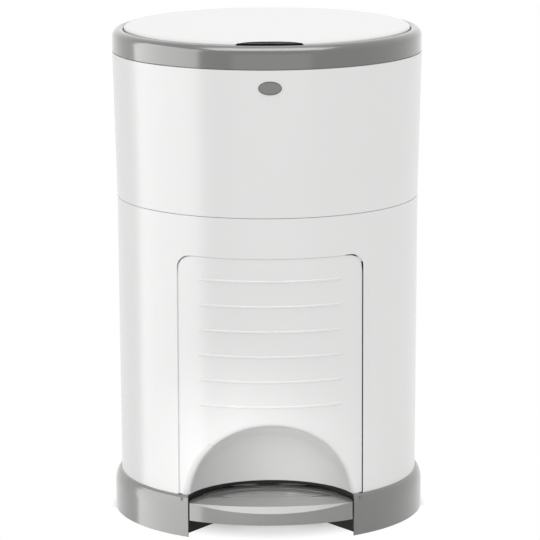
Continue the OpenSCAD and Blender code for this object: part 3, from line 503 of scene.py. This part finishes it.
def dress(piece, finish, body, slot, *stands_for, angle=30):
    piece.data.materials.clear()
    piece.data.materials.append(finish)
    only(piece)
    bpy.ops.object.shade_smooth_by_angle(angle=math.radians(angle))
    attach(piece, body)
    if stands_for:
        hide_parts(*stands_for)
    print(piece.name, len(piece.data.polygons), "faces, rides on", body)


RAYS = 220
RAY_SPAN = (math.radians(-6), math.radians(186))
RAY_ANGLES = [RAY_SPAN[0] + (RAY_SPAN[1] - RAY_SPAN[0]) * i / RAYS for i in range(RAYS + 1)]
DOME_RINGS = DOME_STEPS + FILLET_STEPS
SPLIT_GAP = 0.0003
DOOR_THICKNESS = 0.0026
TOE_THICKNESS = 0.0022
MERGE = 0.00002


def ray_surface(name, first_ring, last_ring):
    rays = [ray_points(angle)[first_ring:last_ring] for angle in RAY_ANGLES]
    rings = len(rays[0])
    points = [p for ray in rays for p in ray]
    faces = [(i * rings + k, i * rings + k + 1, (i + 1) * rings + k + 1, (i + 1) * rings + k)
             for i in range(RAYS) for k in range(rings - 1)]
    if first_ring == 0:
        pole = len(points)
        points.append(TOE_MIDDLE + Vector((0, TOE_RADIUS, 0)))
        faces += [(i * rings, (i + 1) * rings, pole) for i in range(RAYS)]
    return new_piece(name, points, faces)


def face_front(piece):
    """Turns every face so that the wall's normal points out of the bin."""
    turn_outward(piece, MERGE)
    if sum(p.normal.y * p.area for p in piece.data.polygons) > 0:
        piece.data.flip_normals()


door_face = ray_surface("door_face", DOME_RINGS - 1, None)
dome_top = ray_surface("dome_top", 0, DOME_RINGS)
trim(dome_top, (0, 0, TOE_SPLIT + SPLIT_GAP), (0, 0, -1))
join("door_face", [door_face, dome_top])
trim(door_face, (0, 0, DOOR_FOOT), (0, 0, -1))
face_front(door_face)
modify(door_face, "SOLIDIFY", thickness=DOOR_THICKNESS, offset=-1)
dress(door_face, SHELL_WHITE, "door", "white_plastic", "front_door")

toe_recess = ray_surface("toe_recess", 0, DOME_RINGS)
trim(toe_recess, (0, 0, TOE_SPLIT), (0, 0, 1))
trim(toe_recess, (0, 0, BASE_TOP), (0, 0, -1))
face_front(toe_recess)
modify(toe_recess, "SOLIDIFY", thickness=TOE_THICKNESS, offset=-1)
dress(toe_recess, SHELL_WHITE, "bin", "white_plastic", "toe_dome")

# %% [markdown]
# ## Bevelled edge of the door's opening
# The opening in the housing has a narrow bevel that leads down to the door's face and catches the
# light as a fine line. It is a three-sided strip along the top and down the free side. The hinge
# side has none, because the door's edge swings through there.

# %% Opening's edge
OPENING_MARGIN = 0.0005
OPENING_HALF = high("front_door").x + OPENING_MARGIN
OPENING_TOP = high("front_door").z + OPENING_MARGIN
OPENING_CORNER = 0.0125
OPENING_FOOT = BASE_TOP + 0.0004
BEVEL_WIDTH = 0.0009
BEVEL_SINK = 0.0001
FACE_CLEARANCE = 0.00003
SIDE_STEPS = 30
ACROSS_STEPS = 30
CORNER_STEPS = 16


def opening_path(inset):
    """From the top's hinge end across, round the corner and down the free side, as (x, z)."""
    half, top, corner = OPENING_HALF - inset, OPENING_TOP - inset, OPENING_CORNER - inset
    across = [((half - corner) * (1 - 2 * i / ACROSS_STEPS), top) for i in range(1, ACROSS_STEPS)]
    bend = [(corner - half - corner * math.sin(a), top - corner + corner * math.cos(a))
            for a in (math.pi / 2 * i / CORNER_STEPS for i in range(CORNER_STEPS + 1))]
    side_height = top - corner - OPENING_FOOT
    side = [(-half, top - corner - side_height * i / SIDE_STEPS) for i in range(1, SIDE_STEPS + 1)]
    return across + bend + side


outer, inner = opening_path(0), opening_path(BEVEL_WIDTH)
strip_points = []
for (x, z), (inner_x, inner_z) in zip(outer, inner):
    face = housing_radius(z) - FACE_CLEARANCE
    strip_points += [Vector((x, -math.sqrt(face ** 2 - x * x), z)),
                     Vector((inner_x, wall_y(inner_x, inner_z, BEVEL_SINK), inner_z)),
                     Vector((x, wall_y(x, z, BEVEL_SINK), z))]
strip_faces = [(i * 3 + k, i * 3 + 3 + k, i * 3 + 3 + (k + 1) % 3, i * 3 + (k + 1) % 3)
               for i in range(len(outer) - 1) for k in range(3)]
last = (len(outer) - 1) * 3
strip_faces += [(0, 1, 2), (last + 2, last + 1, last)]
opening_edge = new_piece("door_opening_edge", strip_points, strip_faces)
turn_outward(opening_edge)
dress(opening_edge, SHELL_WHITE, "bin", "white_plastic")

# %% [markdown]
# ## Ribs, hinge barrel and snap tongues of the door
# Six half-round ribs cross the door. Each is a small circle spun about the bin's axis, so it
# follows the wall, and its ends are drawn in to a dome. Behind the door are the barrel that the
# hinge pins go into and two tongues that snap behind the frame.

# %% Ribs
RIB_RADIUS = 0.0015
RIB_COUNT = 6
RIB_FIRST = 0.0224
RIB_PITCH = 0.0241
RIB_HALF = 0.066
RIB_STEPS = 48
RIB_SIDES = 16
# Each step towards the tip of a rib's end, as how far it goes and how much it shrinks.
RIB_END = ((0.0006, 0.9), (0.0005, 0.72), (0.0003, 0.4))


def close_end(piece, angle, outward):
    """Draws the open end at this angle round the bin in to a dome."""
    along = Vector((math.cos(angle), math.sin(angle), 0)) * outward
    mesh = piece.data
    only(piece)
    bpy.ops.object.mode_set(mode="EDIT")
    bpy.ops.mesh.select_all(action="DESELECT")
    bpy.ops.object.mode_set(mode="OBJECT")
    for v in mesh.vertices:
        v.select = abs(math.atan2(v.co.x, -v.co.y) - angle) < 1e-4
    for e in mesh.edges:
        e.select = all(mesh.vertices[k].select for k in e.vertices)
    bpy.ops.object.mode_set(mode="EDIT")
    for step, size in RIB_END:
        bpy.ops.mesh.extrude_region_move(TRANSFORM_OT_translate={"value": along * step})
        bpy.ops.transform.resize(value=(size, size, size))
    bpy.ops.mesh.fill()
    bpy.ops.object.mode_set(mode="OBJECT")


def rib(number):
    z = OPENING_TOP - RIB_FIRST - number * RIB_PITCH
    reach = housing_radius(z) - RIB_RADIUS
    half = math.asin(RIB_HALF / reach)
    bpy.ops.object.select_all(action="DESELECT")
    bpy.ops.mesh.primitive_circle_add(
        vertices=RIB_SIDES, radius=RIB_RADIUS, rotation=(math.pi / 2, 0, math.pi / 2 - half),
        location=(-reach * math.sin(half), -reach * math.cos(half), z))
    piece = bpy.context.object
    bpy.ops.object.transform_apply(location=True, rotation=True, scale=True)
    bpy.ops.object.mode_set(mode="EDIT")
    bpy.ops.mesh.select_all(action="SELECT")
    # without a window, spin turns the other way round, so its angle is negative
    bpy.ops.mesh.spin(steps=RIB_STEPS, angle=-2 * half, center=(0, 0, 0), axis=(0, 0, 1))
    bpy.ops.object.mode_set(mode="OBJECT")
    close_end(piece, half, 1)
    close_end(piece, -half, -1)
    turn_outward(piece, MERGE / 2)
    return piece


ribs = join("door_ribs", [rib(i) for i in range(RIB_COUNT)])
dress(ribs, SHELL_WHITE, "door", "white_plastic", angle=60)

# %% Hinge barrel and snap tongues
HINGE_X = 0.084
HINGE_DEPTH = 0.0038
BARREL_RADIUS = 0.0023
BARREL_TOP = DOOR_TOP - 0.0135


def hinge_point(z):
    return Vector((HINGE_X, -math.sqrt((housing_radius(z) - HINGE_DEPTH) ** 2 - HINGE_X ** 2), z))


foot, top = hinge_point(DOOR_FOOT), hinge_point(BARREL_TOP)
bpy.ops.object.select_all(action="DESELECT")
bpy.ops.mesh.primitive_cylinder_add(
    vertices=48, radius=BARREL_RADIUS, depth=(top - foot).length, location=(foot + top) / 2,
    rotation=(top - foot).to_track_quat("Z", "Y").to_euler())
barrel = bpy.context.object
barrel.name = "door_hinge_barrel"
bpy.ops.object.transform_apply(location=True, rotation=True, scale=True)
modify(barrel, "BEVEL", width=0.0004, segments=2, limit_method="ANGLE", angle_limit=math.radians(40))
dress(barrel, SHELL_WHITE, "door", "white_plastic")

TONGUE_X = -0.0834
TONGUE_SIZE = (0.002, 0.0135, 0.016)
TONGUE_SINK = 0.0015
TONGUE_FEET = (0.130, 0.200)
BARB_STEP = (-0.0006, 0.001, 0)
BARB_GROWTH = (1.5, 1, 0.8)


def tongue(z):
    width, depth, height = TONGUE_SIZE
    front = wall_y(TONGUE_X, z, TONGUE_SINK)
    bpy.ops.object.select_all(action="DESELECT")
    middle = (TONGUE_X + width / 2, front + depth / 2, z + height / 2)
    bpy.ops.mesh.primitive_cube_add(size=1, scale=TONGUE_SIZE, location=middle)
    bpy.ops.object.transform_apply(location=True, rotation=False, scale=True)
    piece = bpy.context.object
    only(piece)
    bpy.ops.object.mode_set(mode="EDIT")
    bpy.ops.mesh.select_all(action="DESELECT")
    bpy.ops.object.mode_set(mode="OBJECT")
    back = max(v.co.y for v in piece.data.vertices)
    for face in piece.data.polygons:
        face.select = face.center.y > back - 1e-5
    bpy.ops.object.mode_set(mode="EDIT")
    bpy.ops.mesh.extrude_region_move(TRANSFORM_OT_translate={"value": BARB_STEP})
    bpy.ops.transform.resize(value=BARB_GROWTH)
    bpy.ops.object.mode_set(mode="OBJECT")
    modify(piece, "BEVEL", width=0.0003, segments=2)
    return piece


tongues = join("door_snap_tongues", [tongue(z) for z in TONGUE_FEET])
dress(tongues, SHELL_WHITE, "door", "white_plastic")

# %% [markdown]
# ## Tread of the pedal
# Behind its front band the pedal has a tread with fine arcs round the bin's axis, so that a shoe
# doesn't slip. It runs back under the deck. Its cross-section is drawn with small ridges and spun
# about the bin's axis.

# %% Tread
PEDAL_TOP = high("pedal_pad").z
TREAD_FRONT = 0.1125
TREAD_BACK = 0.051
TREAD_HALF_ANGLE = math.radians(35)
TREAD_RIDGES = 9
TREAD_SINK = 0.0004
RIDGE_HEIGHT = 0.0005
TREAD_THICKNESS = 0.0012
# Where one pitch of the tread has the end of its land and both ends of its groove's floor.
LAND_END, GROOVE_START, GROOVE_END = 0.82, 0.86, 0.96


def section_piece(name, outline, start_angle, turn, steps, capped=False):
    """Spins an outline of (distance, z) points about the bin's axis. A part turn needs its caps."""
    a = start_angle
    points = [Vector((math.sin(a) * d, -math.cos(a) * d, z)) for d, z in outline]
    mesh = bpy.data.meshes.new(name)
    mesh.from_pydata(points, [(i, (i + 1) % len(points)) for i in range(len(points))], [])
    piece = bpy.data.objects.new(name, mesh)
    scene.collection.objects.link(piece)
    only(piece)
    bpy.ops.object.mode_set(mode="EDIT")
    bpy.ops.mesh.select_all(action="SELECT")
    if capped:
        bpy.ops.mesh.fill()
        bpy.ops.mesh.select_all(action="SELECT")
    bpy.ops.mesh.spin(steps=steps, angle=-turn, center=(0, 0, 0), axis=(0, 0, 1))
    turn_outward(piece, MERGE / 4)
    return piece


tread_z = PEDAL_TOP - TREAD_SINK
ridge_pitch = (TREAD_FRONT - TREAD_BACK) / TREAD_RIDGES
tread_outline = []
for i in range(TREAD_RIDGES):
    d = TREAD_FRONT - ridge_pitch * i
    tread_outline += [(d, tread_z), (d - ridge_pitch * LAND_END, tread_z),
                      (d - ridge_pitch * GROOVE_START, tread_z - RIDGE_HEIGHT),
                      (d - ridge_pitch * GROOVE_END, tread_z - RIDGE_HEIGHT)]
tread_under = tread_z - TREAD_THICKNESS
tread_outline += [(TREAD_BACK, tread_z), (TREAD_BACK, tread_under), (TREAD_FRONT, tread_under)]
tread = section_piece("pedal_tread", tread_outline, -TREAD_HALF_ANGLE, 2 * TREAD_HALF_ANGLE, 96, capped=True)
# The tread wears the pedal's lighter grey, which is painted light.
dress(tread, PEDAL_GREY_PAINTED_LIGHT, "pedal", "grey_plastic")

# %% [markdown]
# ## Button's domed face
# The release button is an oval whose face bulges a little, so that a thumb finds it.

# %% Button
BUTTON_HALF = 0.0103
BUTTON_HALF_HEIGHT = 0.0058
BUTTON_BULGE = 0.0003
button_z = (low("release_button").z + high("release_button").z) / 2
button_middle = (0, low("release_button").y, button_z)
bpy.ops.object.select_all(action="DESELECT")
bpy.ops.mesh.primitive_uv_sphere_add(segments=96, ring_count=48, radius=1, location=button_middle)
button_face = bpy.context.object
button_face.name = "button_face"
button_size = (BUTTON_HALF, BUTTON_BULGE, BUTTON_HALF_HEIGHT)
bpy.ops.transform.resize(value=button_size, center_override=button_middle)
bpy.ops.object.transform_apply(location=True, rotation=True, scale=True)
turn_outward(button_face)
dress(button_face, TRIM_GREY, "button", "grey_plastic")

# %% [markdown]
# ## Rim ring
# The grey rim has a deep rounded shoulder that carries the long highlight round the top. Its
# section is an ellipse that runs into a small round at the opening, spun all the way round.

# %% Rim
RIM_FOOT = low("rim_ring").z
RIM_RADIUS = high("rim_ring").x
RIM_SHOULDER = (0.0072, 0.008)
RIM_OPENING = 0.1386
RIM_LIP = 0.0021
RIM_SKIRT = 0.0022
RIM_DRAFT = 0.0001
RIM_FOOT_BREAK = 0.0004
RIM_COLLAR = 0.0026
RIM_COLLAR_FOOT = RIM_TOP - 0.0057
RIM_UNDER = RIM_TOP - 0.0028
RIM_UNDER_END = 0.006
RIM_SKIRT_TOP = RIM_TOP - 0.0063
shoulder_d = RIM_RADIUS - RIM_SHOULDER[0]
shoulder_z = RIM_TOP - RIM_SHOULDER[1]
quarter = [math.pi / 2 * i / 16 for i in range(17)]
inner_round = shoulder_d - RIM_OPENING
rim_outline = [(RIM_RADIUS - RIM_SKIRT, RIM_FOOT),
               (RIM_RADIUS - RIM_DRAFT - RIM_FOOT_BREAK, RIM_FOOT),
               (RIM_RADIUS - RIM_DRAFT, RIM_FOOT + RIM_FOOT_BREAK)]
rim_outline += [(shoulder_d + RIM_SHOULDER[0] * math.cos(a), shoulder_z + RIM_SHOULDER[1] * math.sin(a))
                for a in quarter]
rim_outline += [(shoulder_d - inner_round * math.sin(a), RIM_TOP - RIM_LIP * (1 - math.cos(a)))
                for a in quarter[1:]]
rim_outline += [(RIM_OPENING, RIM_COLLAR_FOOT), (RIM_OPENING + RIM_COLLAR, RIM_COLLAR_FOOT),
                (RIM_OPENING + RIM_COLLAR, RIM_UNDER), (RIM_RADIUS - RIM_UNDER_END, RIM_UNDER),
                (RIM_RADIUS - RIM_SKIRT, RIM_SKIRT_TOP)]
rim_band = section_piece("rim_band", rim_outline, 0, 2 * math.pi, 180)
dress(rim_band, TRIM_GREY, "upper_housing", "grey_plastic", "rim_ring", angle=35)

# %% [markdown]
# ## Studio
# The bin stands in a white room that lights it evenly. The floor and the room show as pure white,
# but close to the bin the paper is left as it is, so that the shadow under the bin shows.

# %% Floor and room
ROOM_LIGHT = 0.84
FLOOR_SIZE = 14
# The floor turns white at these shares of the bin's radius, in front of it and behind it.
WHITE_FROM = (0.35, 0.95)
WHITE_BLEND = (0.55, 0.08)
BEHIND_FROM = -0.04
BEHIND_BLEND = 0.03


def white_for_camera(tree):
    path = tree.nodes.new("ShaderNodeLightPath")
    either = tree.nodes.new("ShaderNodeMath")
    either.operation = "MAXIMUM"
    tree.links.new(path.outputs["Is Camera Ray"], either.inputs[0])
    also = tree.nodes.new("ShaderNodeMath")
    also.operation = "MAXIMUM"
    tree.links.new(path.outputs["Is Glossy Ray"], also.inputs[0])
    tree.links.new(path.outputs["Is Transmission Ray"], also.inputs[1])
    tree.links.new(also.outputs[0], either.inputs[1])
    return either.outputs[0]


def floor_paper():
    finish = Finish("studio_floor")
    paper = finish.noise(3, 2)
    colour = finish.mix(paper, (0.84, 0.84, 0.84), (0.82, 0.82, 0.82))
    lit = finish.node("ShaderNodeBsdfDiffuse", {}, {"Color": colour})
    white = finish.node("ShaderNodeEmission", {}, {"Color": (1, 1, 1, 1), "Strength": 1.0})
    from_axis = finish.node("ShaderNodeVectorMath", {"operation": "LENGTH"}, {0: finish.place}, "Value")
    behind = ((finish.axis(1) - BEHIND_FROM) / BEHIND_BLEND).clamp()
    start = BIN_RADIUS * (WHITE_FROM[0] + (WHITE_FROM[1] - WHITE_FROM[0]) * behind)
    blend = BIN_RADIUS * (WHITE_BLEND[0] - (WHITE_BLEND[0] - WHITE_BLEND[1]) * behind)
    clear_of_bin = ((from_axis - start) / blend).clamp()
    seen = Wire(finish, white_for_camera(finish.tree))
    finish.end_in(finish.node("ShaderNodeMixShader", {}, {0: seen * clear_of_bin, 1: lit, 2: white}))
    return finish.material


bpy.ops.object.select_all(action="DESELECT")
bpy.ops.mesh.primitive_plane_add(size=FLOOR_SIZE, location=(0, 0, 0))
floor = bpy.context.object
floor.name = "floor"
floor.data.materials.append(floor_paper())
floor.visible_glossy = False

world = bpy.data.worlds.new("white_room")
scene.world = world
world.use_nodes = True
tree = world.node_tree
tree.nodes.clear()
room = tree.nodes.new("ShaderNodeBackground")
room.inputs["Color"].default_value = (1, 1, 1, 1)
room.inputs["Strength"].default_value = ROOM_LIGHT
shown = tree.nodes.new("ShaderNodeBackground")
shown.inputs["Color"].default_value = (1, 1, 1, 1)
shown.inputs["Strength"].default_value = 1.0
blend = tree.nodes.new("ShaderNodeMixShader")
out = tree.nodes.new("ShaderNodeOutputWorld")
tree.links.new(white_for_camera(tree), blend.inputs[0])
tree.links.new(room.outputs[0], blend.inputs[1])
tree.links.new(shown.outputs[0], blend.inputs[2])
tree.links.new(blend.outputs[0], out.inputs["Surface"])
print("room light", ROOM_LIGHT)

# %% [markdown]
# A lamp overhead adds a little to what faces up, and a wide low one in front fills the shade
# near the floor. A narrow spot reaches the dome over the pedal. Two reflectors give the gloss
# its shape: one on the left makes the broad band down that side, and one above draws the bright
# line on the rim, the pedal and the base. The reflectors give no diffuse light, so they add
# shine without lighting the shell twice.

# %% Lamps
def hang(name, lamp, place, aim):
    holder = bpy.data.objects.new(name, lamp)
    scene.collection.objects.link(holder)
    holder.location = place
    holder.rotation_mode = "QUATERNION"
    holder.rotation_quaternion = (Vector(aim) - Vector(place)).to_track_quat("-Z", "Y")
    print(name, "power", round(lamp.energy, 1), "W")
    return holder


def softbox(name, place, aim, width, tall, glow, gloss_only=False):
    """An area lamp whose face has the brightness glow, where 1 is white paper."""
    lamp = bpy.data.lights.new(name, "AREA")
    lamp.shape = "RECTANGLE"
    lamp.size = width
    lamp.size_y = tall
    lamp.energy = glow * math.pi * width * tall
    hang(name, lamp, place, aim).visible_diffuse = not gloss_only


def around(azimuth, distance, height):
    a = math.radians(azimuth)
    return (math.sin(a) * distance, -math.cos(a) * distance, height)


softbox("overhead", (0, -0.2, 2.1), (0, 0, 0.3), 1.4, 1.4, 0.9)
softbox("front_fill", (0.1, -2.4, 0.22), (0, 0, 0.1), 2.6, 0.9, 0.55)
toe_light = bpy.data.lights.new("toe_light", "SPOT")
toe_light.energy = 84
toe_light.spot_size = math.radians(4.6)
toe_light.spot_blend = 0.8
toe_light.shadow_soft_size = 0.06
hang("toe_light", toe_light, (-1.1, -2.25, 0.1), (0, -0.1, 0.062))
softbox("left_reflector", around(-81, 1.3, 0.2), (0, 0, 0.2), 1.56, 2.4, 2.9, gloss_only=True)
softbox("top_reflector", (0, -0.7, 1.9), (0, 0, 0.3), 2.2, 1.0, 4.0, gloss_only=True)

# %% [markdown]
# ## Camera
# A long lens from a little above the rim keeps the sides nearly upright.

# %% Camera
CAMERA_DISTANCE = 3.4365
CAMERA_HEIGHT = 0.9079
PITCH = math.radians(11.093)
ROLL = math.radians(-0.205)
FOCAL_PIXELS = 3592.2
IMAGE_SIDE = 540
CENTRE_PIXEL = (267.75, 270.5)
SENSOR = 36.0
lens = bpy.data.cameras.new("studio_camera")
lens.sensor_width = SENSOR
lens.lens = FOCAL_PIXELS / IMAGE_SIDE * SENSOR
lens.shift_x = (IMAGE_SIDE / 2 - CENTRE_PIXEL[0]) / IMAGE_SIDE
lens.shift_y = (CENTRE_PIXEL[1] - IMAGE_SIDE / 2) / IMAGE_SIDE
camera = bpy.data.objects.new("studio_camera", lens)
scene.collection.objects.link(camera)
AZIMUTH = math.radians(-1.05)
forward = Vector((-math.sin(AZIMUTH) * math.cos(PITCH), math.cos(AZIMUTH) * math.cos(PITCH), -math.sin(PITCH)))
right = forward.cross(Vector((0, 0, 1))).normalized()
above = right.cross(forward)
tilted_right = math.cos(ROLL) * right + math.sin(ROLL) * above
tilted_above = math.cos(ROLL) * above - math.sin(ROLL) * right
camera.matrix_world = Matrix((
    (tilted_right.x, tilted_above.x, -forward.x, math.sin(AZIMUTH) * CAMERA_DISTANCE),
    (tilted_right.y, tilted_above.y, -forward.y, -math.cos(AZIMUTH) * CAMERA_DISTANCE),
    (tilted_right.z, tilted_above.z, -forward.z, CAMERA_HEIGHT),
    (0, 0, 0, 1),
))
scene.camera = camera
scene.view_settings.view_transform = "Standard"
print("lens", round(lens.lens, 1), "mm")
